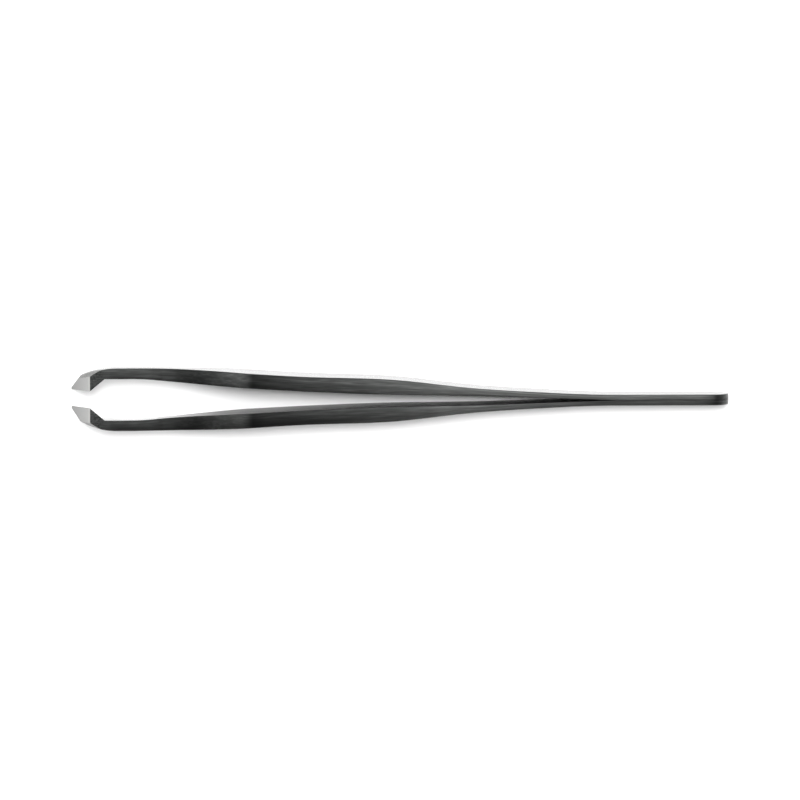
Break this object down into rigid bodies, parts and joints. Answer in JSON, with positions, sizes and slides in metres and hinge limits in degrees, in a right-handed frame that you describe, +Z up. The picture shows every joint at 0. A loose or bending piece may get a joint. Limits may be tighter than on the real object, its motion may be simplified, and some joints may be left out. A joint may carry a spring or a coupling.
{
  "type": "anti-static tweezers",
  "caption": "Oblique-head cutting tweezers: sprung steel arms in a black anti-static coating, welded at the rear, with hooked heads ground bare.",
  "frame": {"origin": "centre of the part's footprint, on the surface that it lies on", "axes": "+X from the cutting heads to the welded rear end, +Y from the left arm to the right arm, in the direction in which the arms spring apart, +Z up, across the width of the arms"},
  "size_m": [0.115, 0.011, 0.009],
  "materials": {
    "coated_steel": "satin black anti-static coating over fine lengthwise brushing, with the cutting heads ground back to bare steel"
  },
  "bodies": {
    "root": {"right_arm": "coated_steel", "left_arm": "coated_steel"}
  },
  "joints": []
}
